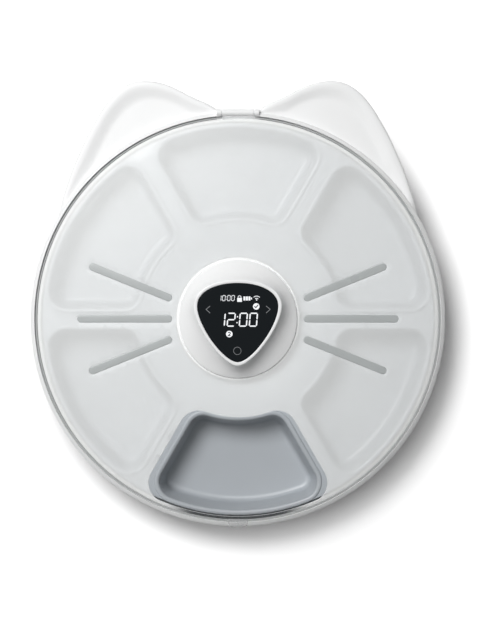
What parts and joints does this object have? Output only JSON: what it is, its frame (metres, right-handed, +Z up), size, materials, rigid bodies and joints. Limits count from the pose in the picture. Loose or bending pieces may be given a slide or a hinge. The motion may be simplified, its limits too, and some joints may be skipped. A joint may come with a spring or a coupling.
{
  "type": "smart pet feeder",
  "caption": "Round automatic pet feeder with ears: a turning tray of compartments under a hinged lid with one window, and a display hub in the middle.",
  "frame": {"origin": "middle of the footprint, on the surface that the feet stand on", "axes": "+Z up, +Y towards the ears and the lid's hinge, -Y towards the open window and the finger tab, +X to the right seen from the front"},
  "size_m": [0.33, 0.3564, 0.0768],
  "materials": {
    "white_shell": "satin-gloss white moulding with a fine even grain",
    "lid_clear": "milky translucent moulding, polished top",
    "whisker_grey": "grey translucent inlay",
    "tray_grey": "cool grey food-safe moulding, satin",
    "seal_rubber": "grey soft seal",
    "foot_rubber": "dark non-slip rubber",
    "display_glass": "smoked black window, polished",
    "circuit_board": "green board with solder mask",
    "steel_parts": "plated steel",
    "gear_plastic": "natural acetal",
    "black_plastic": "black glass-filled moulding",
    "cell_wrap": "shrink wrap",
    "cooling_gel": "blue gel pack shell",
    "lead_jacket": "black jacket"
  },
  "bodies": {
    "root": {"base_shell": "white_shell", "bottom_cover": "white_shell", "column_housing": "white_shell", "hub_cover": "white_shell", "display_bezel": "white_shell", "display_lens": "display_glass", "display_module": "black_plastic", "display_board": "circuit_board", "display_ribbon": "lead_jacket", "main_board": "circuit_board", "gear_deck": "black_plastic", "motor_gearbox": "steel_parts", "motor_can": "steel_parts", "gear_axle": "steel_parts", "battery_holder": "black_plastic", "battery_cell": "cell_wrap", "usb_board": "circuit_board", "usb_socket": "steel_parts", "power_lead": "lead_jacket", "rim_seal": "seal_rubber", "position_sensor": "black_plastic", "cooling_pack_left": "cooling_gel", "cooling_pack_right": "cooling_gel", "hinge_pin": "steel_parts", "foot_1": "foot_rubber", "foot_2": "foot_rubber", "foot_3": "foot_rubber", "foot_4": "foot_rubber", "foot_5": "foot_rubber", "foot_6": "foot_rubber", "cover_screw_1": "steel_parts", "cover_screw_2": "steel_parts", "cover_screw_3": "steel_parts", "cover_screw_4": "steel_parts", "cover_screw_5": "steel_parts", "cover_screw_6": "steel_parts", "column_screw_1": "steel_parts", "column_screw_2": "steel_parts", "column_screw_3": "steel_parts", "deck_screw_1": "steel_parts", "deck_screw_2": "steel_parts", "deck_screw_3": "steel_parts", "hub_screw_1": "steel_parts", "hub_screw_2": "steel_parts", "hub_screw_3": "steel_parts"},
    "tray": {"tray": "tray_grey", "drive_ring": "gear_plastic", "home_magnet": "steel_parts"},
    "drive_gear": {"drive_gear": "gear_plastic"},
    "motor_pinion": {"motor_pinion": "gear_plastic", "output_shaft": "steel_parts"},
    "lid": {"lid_panel": "lid_clear", "whisker_left_upper": "whisker_grey", "whisker_left_middle": "whisker_grey", "whisker_left_lower": "whisker_grey", "whisker_right_upper": "whisker_grey", "whisker_right_middle": "whisker_grey", "whisker_right_lower": "whisker_grey"}
  },
  "joints": [
    {"name": "tray_spin", "type": "hinge", "parent": "root", "child": "tray", "pos_m": [0, -0.01202, 0.037], "axis": [0, 0, 1], "continuous": true},
    {"name": "drive_gear_spin", "type": "hinge", "parent": "root", "child": "drive_gear", "pos_m": [0, 0.02598, 0.0375], "axis": [0, 0, 1], "continuous": true},
    {"name": "motor_pinion_spin", "type": "hinge", "parent": "root", "child": "motor_pinion", "pos_m": [0, 0.00198, 0.0375], "axis": [0, 0, 1], "continuous": true},
    {"name": "lid_hinge", "type": "hinge", "parent": "root", "child": "lid", "pos_m": [0, 0.15198, 0.0545], "axis": [-1, 0, 0], "range_deg": [0, 100]}
  ],
  "couplings": [
    {"joint": "drive_gear_spin", "follows": "tray_spin", "ratio": 3.7143},
    {"joint": "motor_pinion_spin", "follows": "tray_spin", "ratio": -5.2}
  ]
}
